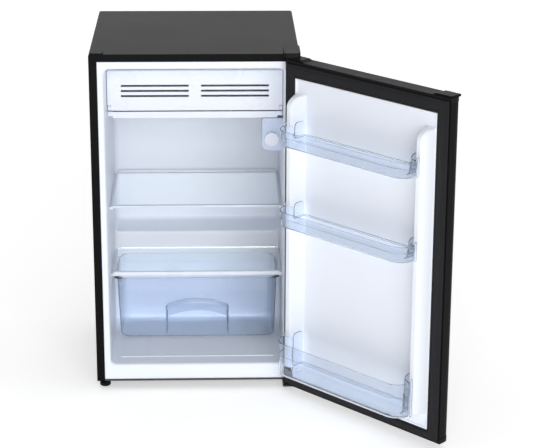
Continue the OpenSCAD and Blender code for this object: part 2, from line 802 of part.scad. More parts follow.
module cord_gland() color("#1a1a1a") translate([gland_x, back_y - 5, gland_z]) rotate([-90, 0, 0])
    rotate_extrude() polygon([[4, 0], [9, 0], [9, 5 - pan_t], [7, 5 - pan_t], [7, 5], [9, 5], [8, 9], [4, 9]]);

// ---- pieces ----

outer_shell();
back_panel();
base_pan();
inner_liner();
cabinet_foam();
evaporator_box();
evaporator_spacers();
freezer_frame();
freezer_flap();
drip_tray();
drip_tray_rails();
thermostat_housing();
thermostat_body();
thermostat_dial();
thermostat_tube();
upper_shelf_glass();
upper_shelf_front_trim();
upper_shelf_rear_trim();
lower_shelf_glass();
lower_shelf_trim();
crisper_drawer();
crisper_pull();
door_skin();
door_top_cap();
door_bottom_cap();
door_foam();
door_liner();
door_gasket();
gasket_magnets();
upper_hinge_bush();
lower_hinge_bush();
bin_upper();
bin_middle();
bin_lower();
upper_hinge_bracket();
upper_hinge_pin();
upper_hinge_screws();
upper_hinge_cover();
left_corner_cap();
lower_hinge_bracket();
lower_hinge_pin();
lower_hinge_screws();
lower_hinge_washer();
front_foot_left();
front_foot_right();
rear_feet();
rear_foot_screws();
compressor();
compressor_grommets();
compressor_bolts();
starter_cover();
suction_pipe();
discharge_pipe();
filter_drier();
liquid_pipe();
capillary_tube();
condenser();
condenser_wires();
condenser_brackets();
cord_gland();
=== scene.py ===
"""Looks of the mini fridge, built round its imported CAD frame. Sizes are in metres."""
import bmesh
import bpy
import json
from math import atan2, cos, pi, radians, sin, sqrt
from mathutils import Matrix, Vector

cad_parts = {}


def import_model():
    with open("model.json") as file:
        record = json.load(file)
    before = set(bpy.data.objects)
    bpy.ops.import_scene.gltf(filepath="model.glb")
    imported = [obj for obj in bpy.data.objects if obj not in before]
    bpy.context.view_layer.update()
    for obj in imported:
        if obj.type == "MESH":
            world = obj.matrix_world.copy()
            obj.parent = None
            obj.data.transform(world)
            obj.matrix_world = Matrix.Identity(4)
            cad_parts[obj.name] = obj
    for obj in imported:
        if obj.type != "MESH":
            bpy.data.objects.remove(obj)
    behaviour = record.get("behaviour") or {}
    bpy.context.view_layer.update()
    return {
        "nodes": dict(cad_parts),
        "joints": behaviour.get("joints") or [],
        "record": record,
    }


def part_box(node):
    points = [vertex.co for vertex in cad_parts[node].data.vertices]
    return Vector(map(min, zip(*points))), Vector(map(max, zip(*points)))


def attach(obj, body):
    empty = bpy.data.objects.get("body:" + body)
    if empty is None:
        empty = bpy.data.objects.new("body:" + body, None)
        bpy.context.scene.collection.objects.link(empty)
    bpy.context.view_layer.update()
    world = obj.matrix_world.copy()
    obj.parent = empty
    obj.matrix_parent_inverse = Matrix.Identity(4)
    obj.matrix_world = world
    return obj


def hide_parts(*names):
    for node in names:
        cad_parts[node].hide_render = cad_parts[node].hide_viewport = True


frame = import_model()
MM = 0.001
NODES = frame["nodes"]
DOOR = next(j for j in frame["joints"] if j["name"] == "door_hinge")
PIVOT = Vector((DOOR["pos_m"][0], DOOR["pos_m"][1], 0))
OPEN = radians(-DOOR["range_deg"][0])
SWING = Matrix.Translation(PIVOT) @ Matrix.Rotation(OPEN, 4, "Z") @ Matrix.Translation(-PIVOT)
CLEAR_WALL = 2.2 * MM       # wall of the bins and the drawer
DRAWER_SLOPE = 43 * MM      # how far the drawer's front runs back, from its top down to its foot


def link_object(name, data):
    """Makes an object of a mesh, lamp or camera and puts it in the scene."""
    obj = bpy.data.objects.new(name, data)
    bpy.context.scene.collection.objects.link(obj)
    return obj


# ---- camera ----

def make_camera():
    """The photo's view, from the fitted camera."""
    place_at, pan, tilt, roll = (0.0455, -4.3737, 1.8459), -1.96, 19.01, 0.26
    data = bpy.data.cameras.new("camera")
    data.lens = 122.4
    data.sensor_width = 36
    data.clip_end = 100
    camera = link_object("camera", data)
    camera.matrix_world = (Matrix.Translation(place_at)
                           @ Matrix.Rotation(radians(pan), 4, "Z")
                           @ Matrix.Rotation(radians(90 - tilt), 4, "X")
                           @ Matrix.Rotation(radians(roll), 4, "Z"))
    bpy.context.scene.camera = camera


make_camera()


# ---- mesh helpers ----

def closed_box(node):
    """Box of a door node with the door shut, in metres."""
    back = SWING.inverted()
    points = [back @ v.co for v in NODES[node].data.vertices]
    low = Vector([min(p[i] for p in points) for i in range(3)])
    high = Vector([max(p[i] for p in points) for i in range(3)])
    return low, high


def link_mesh(name, bm):
    """Makes an object of a bmesh as it is."""
    mesh = bpy.data.meshes.new(name)
    bm.to_mesh(mesh)
    bm.free()
    return link_object(name, mesh)


def add_object(name, bm, smooth_angle=35):
    """Makes an object of a closed bmesh, with normals outward, shaded smooth up to an angle."""
    bmesh.ops.remove_doubles(bm, verts=bm.verts, dist=1e-7)
    bmesh.ops.recalc_face_normals(bm, faces=bm.faces)
    obj = link_mesh(name, bm)
    smooth(obj, smooth_angle)
    even_normals(obj)
    return obj


def add_door_object(name, bm, smooth_angle=35):
    """Makes an object of a bmesh that is drawn with the door shut, and swings it open."""
    obj = add_object(name, bm, smooth_angle)
    obj.data.transform(SWING)
    return obj


def thicken(obj, thickness):
    """Gives a sheet its thickness, behind the face that is drawn."""
    sheet = obj.modifiers.new("sheet", "SOLIDIFY")
    sheet.thickness = thickness
    sheet.offset = -1


def even_normals(obj):
    """Keeps large flat faces flat in shading where small rounded ones meet them."""
    weighted = obj.modifiers.new("normals", "WEIGHTED_NORMAL")
    weighted.mode = "FACE_AREA"
    weighted.weight = 50
    weighted.keep_sharp = True


def smooth(obj, angle=35):
    """Shades a mesh smooth, with edges sharper than the angle kept sharp."""
    mesh = obj.data
    for face in mesh.polygons:
        face.use_smooth = True
    mesh.set_sharp_from_angle(angle=radians(angle))


def join_rings(bm, a, b):
    """Faces between two closed rings of vertices."""
    count = len(a)
    for i in range(count):
        j = (i + 1) % count
        bm.faces.new((a[i], a[j], b[j], b[i]))


def fill_loops(bm, loops, capped=True):
    """Joins closed rings of points, one to the next, and caps the ends unless told not to."""
    rings = [[bm.verts.new(p) for p in loop] for loop in loops]
    for a, b in zip(rings, rings[1:]):
        join_rings(bm, a, b)
    if capped:
        bm.faces.new(rings[0][::-1])
        bm.faces.new(rings[-1])


def x_span(side, a, b):
    """The x values of a piece from a to b off the middle plane, on one side, lower first."""
    return sorted((side * a, side * b))


def round_box(bm, low, high, radius, segments=3):
    """Adds a box with rounded edges to a bmesh."""
    low, high = Vector(low), Vector(high)
    size = high - low
    made = bmesh.ops.create_cube(bm, size=1)["verts"]
    for v in made:
        v.co = low + Vector(((v.co.x + 0.5) * size.x, (v.co.y + 0.5) * size.y, (v.co.z + 0.5) * size.z))
    edges = list({e for v in made for e in v.link_edges})
    bmesh.ops.bevel(bm, geom=edges, offset=radius, segments=segments, profile=0.5,
                    affect="EDGES", clamp_overlap=True)


def arc(cx, cy, r, a0, a1, n=6):
    """Points on an arc, angles in degrees."""
    return [(cx + r * cos(radians(a0 + (a1 - a0) * i / n)), cy + r * sin(radians(a0 + (a1 - a0) * i / n)))
            for i in range(n + 1)]


def round_rect(x0, y0, x1, y1, r, n=6):
    """Points round a rectangle with round corners."""
    return (arc(x1 - r, y1 - r, r, 0, 90, n) + arc(x0 + r, y1 - r, r, 90, 180, n)
            + arc(x0 + r, y0 + r, r, 180, 270, n) + arc(x1 - r, y0 + r, r, 270, 360, n))


def bevel_node(name, width, segments=2, angle=30):
    """Rounds the sharp edges of a carried-over CAD node with modifiers. The width is in mm."""
    obj = NODES[name]
    flat = obj.modifiers.new("flat", "DECIMATE")
    flat.decimate_type = "DISSOLVE"
    flat.angle_limit = radians(0.5)
    bevel = obj.modifiers.new("bevel", "BEVEL")
    bevel.width = width * MM
    bevel.segments = segments
    bevel.limit_method = "ANGLE"
    bevel.angle_limit = radians(angle)
    bevel.harden_normals = True
    smooth(obj)


# ---- material helpers ----

def new_material(name, color, roughness, **sockets):
    """Principled material. Constant values are set on its own sockets."""
    mat = bpy.data.materials.new(name)
    mat.use_nodes = True
    shader = mat.node_tree.nodes["Principled BSDF"]
    shader.inputs["Base Color"].default_value = (*color, 1)
    shader.inputs["Roughness"].default_value = roughness
    for socket, value in sockets.items():
        shader.inputs[socket.replace("_", " ")].default_value = value
    return mat


def place(mat):
    """Object coordinates of the material, made once."""
    nodes = mat.node_tree.nodes
    if "place" not in nodes:
        nodes.new("ShaderNodeTexCoord").name = "place"
    return nodes["place"].outputs["Object"]


def noise(mat, scale, detail=2.0, stretch=None):
    """Noise texture in object space. Its scale is in features per metre."""
    nodes, links = mat.node_tree.nodes, mat.node_tree.links
    texture = nodes.new("ShaderNodeTexNoise")
    texture.inputs["Scale"].default_value = scale
    texture.inputs["Detail"].default_value = detail
    source = place(mat)
    if stretch:
        mapping = nodes.new("ShaderNodeMapping")
        mapping.inputs["Scale"].default_value = stretch
        links.new(source, mapping.inputs["Vector"])
        source = mapping.outputs["Vector"]
    links.new(source, texture.inputs["Vector"])
    return texture.outputs["Fac"]


def cells(mat, scale, feature="F1"):
    """Cell texture in object space: distance to the nearest cell's centre."""
    nodes, links = mat.node_tree.nodes, mat.node_tree.links
    texture = nodes.new("ShaderNodeTexVoronoi")
    texture.feature = feature
    texture.inputs["Scale"].default_value = scale
    links.new(place(mat), texture.inputs["Vector"])
    return texture.outputs["Distance"]


def remap(mat, value, low, high, out_low, out_high):
    """Carries a value from one range over to another."""
    nodes, links = mat.node_tree.nodes, mat.node_tree.links
    node = nodes.new("ShaderNodeMapRange")
    sockets = ("From Min", "From Max", "To Min", "To Max")
    for socket, number in zip(sockets, (low, high, out_low, out_high)):
        node.inputs[socket].default_value = number
    links.new(value, node.inputs["Value"])
    return node.outputs["Result"]


def vary_color(mat, value, dark, light):
    """Base colour runs between two colours with a value from 0 to 1."""
    nodes, links = mat.node_tree.nodes, mat.node_tree.links
    ramp = nodes.new("ShaderNodeValToRGB")
    ramp.color_ramp.elements[0].color = (*dark, 1)
    ramp.color_ramp.elements[1].color = (*light, 1)
    links.new(value, ramp.inputs["Fac"])
    links.new(ramp.outputs["Color"], nodes["Principled BSDF"].inputs["Base Color"])


def vary_roughness(mat, value):
    """Roughness follows a value."""
    mat.node_tree.links.new(value, mat.node_tree.nodes["Principled BSDF"].inputs["Roughness"])


def bump(mat, height, distance, strength=1.0, after=None):
    """Bump of a real depth in metres. Bumps chain through after."""
    nodes, links = mat.node_tree.nodes, mat.node_tree.links
    node = nodes.new("ShaderNodeBump")
    node.inputs["Strength"].default_value = strength
    node.inputs["Distance"].default_value = distance
    links.new(height, node.inputs["Height"])
    if after:
        links.new(after, node.inputs["Normal"])
    links.new(node.outputs["Normal"], nodes["Principled BSDF"].inputs["Normal"])
    return node.outputs["Normal"]


def mottle(mat, color, spread, roughness, rough_spread, scale=18):
    """Slight variation of colour and gloss across a surface."""
    value = noise(mat, scale, 3)
    dark = [c * (1 - spread) for c in color]
    light = [min(1, c * (1 + spread)) for c in color]
    vary_color(mat, remap(mat, value, 0.1, 0.9, 0, 1), dark, light)
    vary_roughness(mat, remap(mat, value, 0.1, 0.9, roughness - rough_spread, roughness + rough_spread))


# ---- materials ----

def make_black_steel():
    """Embossed black coating: shallow pebbles about 1.5 mm across."""
    color = (0.004, 0.004, 0.0044)
    mat = new_material("black_steel", color, 0.42, Specular_IOR_Level=0.07)
    mottle(mat, color, 0.1, 0.42, 0.018, 9)
    pebbles = bump(mat, cells(mat, 620, "SMOOTH_F1"), 0.00035, 0.4)
    bump(mat, noise(mat, 2600, 2), 0.0001, 0.3, pebbles)
    return mat


def make_black_plastic():
    """Caps, covers and clips with a fine moulded grain."""
    color = (0.005, 0.005, 0.0055)
    mat = new_material("black_plastic", color, 0.45, Specular_IOR_Level=0.12)
    mottle(mat, color, 0.15, 0.48, 0.06, 25)
    bump(mat, noise(mat, 3200, 2), 0.00008, 0.5)
    return mat


def make_gasket():
    """Soft vinyl of the door seal."""
    color = (0.014, 0.014, 0.016)
    mat = new_material("gasket_rubber", color, 0.6, Specular_IOR_Level=0.2)
    mottle(mat, color, 0.2, 0.6, 0.08, 30)
    bump(mat, noise(mat, 900, 3), 0.0001, 0.4)
    return mat


def make_rubber():
    """Feet and grommets."""
    color = (0.018, 0.018, 0.018)
    mat = new_material("black_rubber", color, 0.75)
    mottle(mat, color, 0.25, 0.75, 0.08, 60)
    bump(mat, noise(mat, 1500, 3), 0.00015, 0.5)
    return mat


def make_white_liner():
    """Vacuum-formed sheet: slow waves in its gloss and a very fine grain."""
    color = (0.872, 0.912, 0.992)
    mat = new_material("white_liner", color, 0.32)
    mottle(mat, color, 0.012, 0.32, 0.05, 7)
    waves = bump(mat, noise(mat, 26, 2), 0.0006, 0.1)
    bump(mat, noise(mat, 2200, 2), 0.00004, 0.4, waves)
    return mat


def make_white_trim():
    """Injection-moulded white parts, a little greyer than the liner."""
    color = (0.82, 0.858, 0.93)
    mat = new_material("white_trim", color, 0.28)
    mottle(mat, color, 0.012, 0.28, 0.04, 14)
    bump(mat, noise(mat, 1800, 2), 0.00004, 0.4)
    return mat


CLEAR_SHADE = (0.95, 0.965, 0.985)    # what the clear moulding leaves of a lamp's light


def let_light_through(mat, tint):
    """Lets lamps shine through a clear material, so that what is behind it isn't in its shadow."""
    nodes, links = mat.node_tree.nodes, mat.node_tree.links
    path = nodes.new("ShaderNodeLightPath")
    clear = nodes.new("ShaderNodeBsdfTransparent")
    clear.inputs["Color"].default_value = (*tint, 1)
    mix = nodes.new("ShaderNodeMixShader")
    links.new(path.outputs["Is Shadow Ray"], mix.inputs["Fac"])
    links.new(nodes["Principled BSDF"].outputs["BSDF"], mix.inputs[1])
    links.new(clear.outputs["BSDF"], mix.inputs[2])
    links.new(mix.outputs["Shader"], nodes["Material Output"].inputs["Surface"])


def make_clear_plastic():
    """Blue-tinted clear moulding, with faint flow waves."""
    mat = new_material("clear_bin", (0.80, 0.84, 0.90), 0.05, Transmission_Weight=1.0, IOR=1.49)
    vary_roughness(mat, remap(mat, noise(mat, 30, 2), 0.3, 0.7, 0.03, 0.09))
    bump(mat, noise(mat, 60, 2), 0.0006, 0.2)
    let_light_through(mat, CLEAR_SHADE)
    return mat


def make_clear_edge():
    """The same moulding as a thin strip, whose frosted faces scatter the light."""
    color = (0.84, 0.885, 0.95)
    mat = new_material("clear_edge", color, 0.4, Transmission_Weight=0.45, IOR=1.49)
    mottle(mat, color, 0.01, 0.4, 0.05, 30)
    bump(mat, noise(mat, 1500, 2), 0.00004, 0.4)
    let_light_through(mat, CLEAR_SHADE)
    return mat


def make_glass():
    """Shelf glass, very slightly green."""
    mat = new_material("shelf_glass", (0.96, 0.985, 0.99), 0.02, Transmission_Weight=1.0, IOR=1.45)
    vary_roughness(mat, remap(mat, noise(mat, 12, 3), 0.3, 0.7, 0.01, 0.05))
    bump(mat, noise(mat, 8, 1), 0.0004, 0.05)
    let_light_through(mat, (0.95, 0.98, 0.99))
    return mat


def make_foam():
    """Blown insulation with small cells."""
    color = (0.76, 0.66, 0.38)
    mat = new_material("foam", color, 0.9)
    mottle(mat, color, 0.15, 0.9, 0.05, 60)
    bump(mat, cells(mat, 900), 0.0004, 0.6)
    return mat


def make_metal(name, color, roughness, grain, stretch, spread=0.1):
    """Bare metal with a drawn or brushed grain along one axis."""
    mat = new_material(name, color, roughness, Metallic=1.0)
    value = noise(mat, grain, 3, stretch)
    dark = [c * (1 - spread) for c in color]
    vary_color(mat, remap(mat, value, 0.3, 0.7, 0, 1), dark, color)
    vary_roughness(mat, remap(mat, value, 0.3, 0.7, roughness - 0.08, roughness + 0.08))
    bump(mat, value, 0.00004, 0.5)
    return mat


def make_painted(name, color, roughness, spread=0.12):
    """Sprayed enamel with a little orange peel."""
    mat = new_material(name, color, roughness, Coat_Weight=0.3, Coat_Roughness=0.15)
    mottle(mat, color, spread, roughness, 0.06, 30)
    bump(mat, noise(mat, 450, 2), 0.0001, 0.4)
    return mat


def make_plain(name, color, roughness):
    """Moulded or pressed matter with a fine grain."""
    mat = new_material(name, color, roughness)
    mottle(mat, color, 0.06, roughness, 0.05, 40)
    bump(mat, noise(mat, 1500, 2), 0.00006, 0.4)
    return mat


MATERIALS = {
    "black_steel": make_black_steel(),
    "dark_steel": make_painted("dark_steel", (0.025, 0.025, 0.027), 0.4),
    "zinc_steel": make_metal("zinc_steel", (0.62, 0.63, 0.64), 0.35, 900, (1, 1, 0.05)),
    "white_liner": make_white_liner(),
    "white_trim": make_white_trim(),
    "clear_bin": make_clear_plastic(),
    "shelf_glass": make_glass(),
    "foam": make_foam(),
    "black_plastic": make_black_plastic(),
    "gasket_rubber": make_gasket(),
    "black_rubber": make_rubber(),
    "magnet": make_plain("magnet", (0.09, 0.075, 0.065), 0.8),
    "aluminium": make_metal("aluminium", (0.74, 0.76, 0.78), 0.38, 500, (1, 0.04, 1)),
    "copper": make_metal("copper", (0.72, 0.36, 0.20), 0.32, 700, (1, 1, 0.1), 0.3),
    "compressor_paint": make_painted("compressor_paint", (0.014, 0.014, 0.016), 0.3, 0.2),
    "control_grey": make_plain("control_grey", (0.5, 0.52, 0.55), 0.5),
    "clear_edge": make_clear_edge(),
    "pale_blue": make_plain("pale_blue", (0.62, 0.70, 0.87), 0.35),
    "nylon": make_plain("nylon", (0.75, 0.75, 0.72), 0.45),
}


def dress(obj, slot):
    """Gives an object one of the materials."""
    obj.data.materials.clear()
    obj.data.materials.append(MATERIALS[slot])


def finish_piece(obj, body, slot, *nodes):
    """Dresses a new piece, sets it on its body, and lets it stand for CAD nodes."""
    dress(obj, slot)
    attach(obj, body)
    if nodes:
        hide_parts(*nodes)


# ---- CAD nodes that stay ----

SLOT_OF = {part["node"]: part["material_slot"] for part in frame["record"]["subparts"]}
for node_name, node_obj in NODES.items():
    dress(node_obj, SLOT_OF[node_name])
dress(NODES["upper_shelf_front_trim"], "clear_edge")
dress(NODES["thermostat_housing"], "pale_blue")

# Nodes without bevels, which are round already or out of sight
UNBEVELLED = ("condenser", "condenser_wires", "suction_pipe", "discharge_pipe", "liquid_pipe",
              "capillary_tube", "thermostat_tube", "filter_drier", "compressor", "compressor_grommets",
              "cord_gland", "upper_hinge_bush", "lower_hinge_bush", "gasket_magnets", "cabinet_foam",
              "door_foam", "lower_hinge_washer", "upper_hinge_pin", "lower_hinge_pin", "thermostat_dial")
# Bevel widths in mm that aren't the usual one
USUAL_BEVEL = 0.5
BEVELS = {"outer_shell": 0.4, "left_corner_cap": 1.0, "upper_hinge_cover": 1.2, "door_top_cap": 1.2,
          "door_bottom_cap": 1.2, "freezer_flap": 1.0, "front_foot_left": 1.0, "front_foot_right": 1.0,
          "rear_feet": 1.0, "door_skin": 0.3, "back_panel": 0.3, "base_pan": 0.4, "starter_cover": 2.0,
          "thermostat_housing": 0.8}
for node_name in NODES:
    if node_name in UNBEVELLED:
        smooth(NODES[node_name], 40)
    else:
        bevel_node(node_name, BEVELS.get(node_name, USUAL_BEVEL))


# ---- cabinet liner ----

def roll_lip(bm, rim, half, floor, roof, front, lip):
    """Rolls the tub's open edge outward to the front, in rounded steps. Gives its last edges."""
    steps = 5
    on_side, on_roof = 0.93, 0.96       # share of the way out from which a point is on a wall
    tall = (roof - floor) / 2
    center = Vector((0, 0, (floor + roof) / 2))
    for i in range(1, steps + 1):
        last, angle = pi / 2 * (i - 1) / steps, pi / 2 * i / steps
        made = bmesh.ops.extrude_edge_only(bm, edges=rim)["geom"]
        rim = [g for g in made if isinstance(g, bmesh.types.BMEdge)]
        grow = lip * (cos(last) - cos(angle))
        for v in (g for g in made if isinstance(g, bmesh.types.BMVert)):
            v.co.y = front + lip - lip * sin(angle)
            out = Vector((v.co.x, 0, v.co.z)) - center
            limit = max(abs(out.x) / half, abs(out.z) / tall)
            v.co.x += grow * (out.x / half) / limit if abs(out.x) / half > on_side else 0
            v.co.z += grow * (out.z / tall) / limit if abs(out.z) / tall > on_roof else 0
    return rim


def make_tub(half, floor, roof, back, hump_y, hump_z):
    """Moulded tub with round corners, a step over the compressor, and a front lip."""
    low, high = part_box("inner_liner")
    front, lip = low.y, 6 * MM
    corner, ridge_corner = 13 * MM, 6 * MM
    profile = [(front + lip, floor), (hump_y, floor), (hump_y, hump_z), (back, hump_z), (back, roof),
               (front + lip, roof)]
    bm = bmesh.new()
    left, right = [[bm.verts.new((x, y, z)) for y, z in profile] for x in (-half, half)]
    for i in range(len(profile) - 1):
        bm.faces.new((left[i], left[i + 1], right[i + 1], right[i]))
    bm.faces.new(left)
    bm.faces.new(right)
    bmesh.ops.recalc_face_normals(bm, faces=bm.faces)

    def on_ridge(edge):
        return all(abs(v.co.y - hump_y) < MM and abs(v.co.z - hump_z) < MM for v in edge.verts)

    def inside(edge):
        a, b = edge.verts
        return min(a.co.y, b.co.y) > front + lip + MM or abs(a.co.y - b.co.y) > MM

    bmesh.ops.bevel(bm, geom=[e for e in bm.edges if inside(e) and not on_ridge(e)], offset=corner,
                    segments=6, profile=0.5, affect="EDGES")
    bmesh.ops.bevel(bm, geom=[e for e in bm.edges if on_ridge(e)], offset=ridge_corner,
                    segments=4, profile=0.5, affect="EDGES")
    mouth = [e for e in bm.edges if e.is_boundary]
    rim = roll_lip(bm, mouth, half, floor, roof, front, lip)
    made = bmesh.ops.extrude_edge_only(bm, edges=rim)["geom"]
    outer_half = -low.x
    center = Vector((0, 0, (floor + roof) / 2))
    for v in (g for g in made if isinstance(g, bmesh.types.BMVert)):
        out = Vector((v.co.x, 0, v.co.z)) - center
        reach = high.z - center.z if out.z > 0 else center.z - low.z
        scale = 1 / max(abs(out.x) / outer_half, abs(out.z) / reach)
        v.co.x = out.x * scale
        v.co.z = center.z + out.z * scale
    bmesh.ops.recalc_face_normals(bm, faces=bm.faces)
    if sum(f.normal.y for f in bm.faces if f.calc_center_median().y > back - MM) > 0:
        bmesh.ops.reverse_faces(bm, faces=bm.faces)
    tub = link_mesh("liner_tub", bm)
    thicken(tub, 1.9 * MM)
    smooth(tub, 50)
    even_normals(tub)
    finish_piece(tub, "cabinet", "white_liner", "inner_liner")


def make_ledges(half, floor, back, hump_y):
    """Shelf ledges on the side walls, and the drawer's rails and stop on the floor."""
    ledge_depth, ledge_h, gap = 7.5 * MM, 8 * MM, 0.3 * MM
    rail_x, stop_half, rail_h = (118 * MM, 122 * MM), 185 * MM, 2 * MM
    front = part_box("inner_liner")[0].y
    stop_front, stop_back = front + 44 * MM, front + 48 * MM
    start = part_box("upper_shelf_front_trim")[1].y + 0.5 * MM
    tops = ((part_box("upper_shelf_glass")[0].z - gap, back), (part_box("lower_shelf_glass")[0].z - gap, hump_y))
    bm = bmesh.new()
    for side in (-1, 1):
        for top, end in tops:
            xs = x_span(side, half - ledge_depth, half + MM)
            round_box(bm, (xs[0], start, top - ledge_h), (xs[1], end + MM, top), 2 * MM)
        xs = x_span(side, *rail_x)
        round_box(bm, (xs[0], stop_back, floor - MM), (xs[1], hump_y - 12 * MM, floor + rail_h), 0.8 * MM)
    round_box(bm, (-stop_half, stop_front, floor - MM), (stop_half, stop_back, floor + rail_h), 0.9 * MM)
    ledges = add_object("liner_ledges", bm)
    finish_piece(ledges, "cabinet", "white_liner")


def make_liner():
    """Cabinet liner, sized by the pieces that stand in it."""
    frame_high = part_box("freezer_frame")[1]
    drawer_low, drawer_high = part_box("crisper_drawer")
    floor = drawer_low.z - 2.3 * MM
    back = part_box("inner_liner")[1].y - 2 * MM
    hump_y = drawer_high.y + 12 * MM
    make_tub(frame_high.x, floor, frame_high.z, back, hump_y, floor + 234 * MM)
    make_ledges(frame_high.x, floor, back, hump_y)


make_liner()


# ---- door liner ----

def ramp(x, a, b):
    """Smooth step from 0 at a to 1 at b."""
    t = max(0.0, min(1.0, (x - a) / (b - a)))
    return t * t * (3 - 2 * t)


def make_door_panel():
    """Moulded door panel: a raised border and two tall ribs, as a height over a grid."""
    low, high = closed_box("door_liner")
    half, height = high.x, high.y - low.y
    rib_low, rib_high = low.z + 32 * MM, high.z - 33 * MM
    rib_foot, rib_head = 14 * MM, 24 * MM

    def across(x):
        """Height of a rib's section, from 0 to 1."""
        u = half - abs(x)
        return min(ramp(u, -0.5 * MM, 11 * MM) ** 0.8, 1 - ramp(u, 21 * MM, 33 * MM) ** 1.2)

    def along(z):
        """Height of a rib along its length, from 0 to 1, with a sloping foot and a round head."""
        if z < rib_low + rib_foot:
            return ramp(z, rib_low, rib_low + rib_foot)
        drop = max(0.0, min(1.0, (z - (rib_high - rib_head)) / rib_head))
        return sqrt(max(0.0, 1 - drop * drop))

    def depth(x, z):
        """How far the panel stands off the door."""
        edge = min(half - abs(x), z - low.z, high.z - z)
        border = 3 * MM * (1 - ramp(edge, 3 * MM, 4.4 * MM))
        groove = 1.4 * MM * ramp(edge, 6 * MM, 7.5 * MM) * (1 - ramp(edge, 9 * MM, 10.5 * MM))
        rib = height * across(x) * along(z)
        return 2 * MM + max(border, rib - groove)

    fine = [i * 0.75 * MM for i in range(8)] + [6 * MM + i * 1.5 * MM for i in range(20)]
    coarse = [36 * MM + i * (half - 36 * MM) / 8 for i in range(9)]
    right = [half - u for u in fine + coarse]
    xs = sorted(set(round(x, 6) for x in right + [-x for x in right]))
    marks = [0, 1.5, 3, 3.7, 4.5, 6, 6.75, 7.5, 9, 9.75, 10.5, 15, 31]
    zs = [low.z + m * MM for m in marks] + [high.z - m * MM for m in marks]
    zs += [rib_low + i * 1.6 * MM for i in range(11)]
    zs += [rib_low + 20 * MM + i * (rib_high - rib_low - 46 * MM) / 16 for i in range(17)]
    zs += [rib_high - rib_head * (1 - (i / 12)) for i in range(13)]
    zs = sorted(set(round(z, 6) for z in zs))
    bm = bmesh.new()
    grid = [[bm.verts.new((x, low.y + depth(x, z) - 0.2 * MM, z)) for x in xs] for z in zs]
    for a, b in zip(grid, grid[1:]):
        for i in range(len(xs) - 1):
            bm.faces.new((a[i], a[i + 1], b[i + 1], b[i]))
    bm.faces.ensure_lookup_table()
    bm.normal_update()
    if bm.faces[0].normal.y < 0:
        bmesh.ops.reverse_faces(bm, faces=bm.faces)
    panel = link_mesh("door_panel", bm)
    panel.data.transform(SWING)
    thicken(panel, 1.6 * MM)
    smooth(panel, 60)
    finish_piece(panel, "door", "white_liner", "door_liner")


def make_door_core():
    """Insulation between the door's skin and its liner."""
    low, high = closed_box("door_foam")
    side_gap = 16 * MM
    skin_in = closed_box("door_skin")[0].y + 2 * MM
    face = closed_box("door_liner")[0].y
    bm = bmesh.new()
    round_box(bm, (low.x + side_gap, skin_in, low.z), (high.x - side_gap, face - 1.5 * MM, high.z), 2 * MM)
    core = add_door_object("door_core", bm)
    finish_piece(core, "door", "foam", "door_foam")


def make_bin_lugs():
    """Lugs on the inner walls of the ribs, one under each end of each bin."""
    low, high = closed_box("door_liner")
    bm = bmesh.new()
    for node in ("bin_upper", "bin_middle", "bin_lower"):
        top = closed_box(node)[0].z - 0.3 * MM
        for side in (-1, 1):
            xs = x_span(side, high.x - 38 * MM, high.x - 22 * MM)
            round_box(bm, (xs[0], low.y + 14 * MM, top - 6 * MM), (xs[1], low.y + 30 * MM, top), 1.2 * MM)
    lugs = add_door_object("bin_lugs", bm)
    finish_piece(lugs, "door", "white_liner")


make_door_panel()
make_door_core()
make_bin_lugs()


# ---- gasket ----

# Bellows profile in shares of the seal's size: across from its outer to its inner edge, and up off the door
SEAL_PROFILE = [(0.0, 0.0), (0.0, 0.45), (0.03, 0.62), (0.10, 0.72), (0.13, 0.60), (0.17, 0.66),
                (0.24, 0.90), (0.34, 1.0), (0.55, 1.0), (0.68, 0.94), (0.74, 0.72), (0.77, 0.50),
                (0.82, 0.46), (0.90, 0.50), (0.97, 0.42), (0.99, 0.2), (0.99, 0.0)]


def make_gasket_ring():
    """Door seal: one profile swept round the door's inner face, mitred at the corners."""
    low, high = closed_box("door_gasket")
    liner_low, liner_high = closed_box("door_liner")
    tall = high.y - low.y
    over_side, over_end = 0.5 * MM, 1.01    # its inner edge runs a little over the liner's edge
    width = high.x - liner_high.x + over_side
    edges = {1: (high.z, liner_high.z), -1: (low.z, liner_low.z)}
    bm = bmesh.new()
    rings = []
    for side_x, side_z in ((1, 1), (-1, 1), (-1, -1), (1, -1)):
        edge, inner = edges[side_z]
        rings.append([bm.verts.new((side_x * (high.x - across * width), low.y + up * tall,
                                    edge + across * (inner - edge) * over_end))
                      for across, up in SEAL_PROFILE])
    for k in range(4):
        join_rings(bm, rings[k], rings[(k + 1) % 4])
    seal = add_door_object("gasket_ring", bm, 40)
    finish_piece(seal, "door", "gasket_rubber", "door_gasket")


make_gasket_ring()


# ---- clear bins and drawer ----

def mirrored(points):
    """Closes a half outline given from the back to the front with its mirror image in x."""
    return points + [(-x, y) for x, y in reversed(points)]


def bin_plan(half_in, half_out, back, step, front, corner, inset):
    """Plan of a bin: a box between the ribs and a wider front with round corners."""
    turn = 2 * MM
    return mirrored([(half_in - inset, back + inset), (half_in - inset, step + inset - turn),
                     (half_in - inset + turn, step + inset)]
                    + arc(half_out - corner, front - corner, corner - inset, 0, 90, 10))


def side_loops(y0, y1, z0, z1, corner, steps):
    """Round rectangles across the x axis, one for each step of inset and x."""
    return [[(x, y, z) for y, z in round_rect(y0 + inset, z0 + inset, y1 - inset, z1 - inset, corner - inset)]
            for inset, x in steps]


def ring_bar(bm, y0, y1, z0, z1, x0, x1, width, corner):
    """Flat loop standing across the x axis: a rounded frame open in the middle."""
    edge = 0.5 * MM
    steps = [(edge, x0), (0, x0 + edge), (0, x1 - edge), (edge, x1), (width - edge, x1), (width, x1 - edge),
             (width, x0 + edge), (width - edge, x0)]
    loops = side_loops(y0, y1, z0, z1, corner, steps)
    fill_loops(bm, loops + [loops[0]], capped=False)


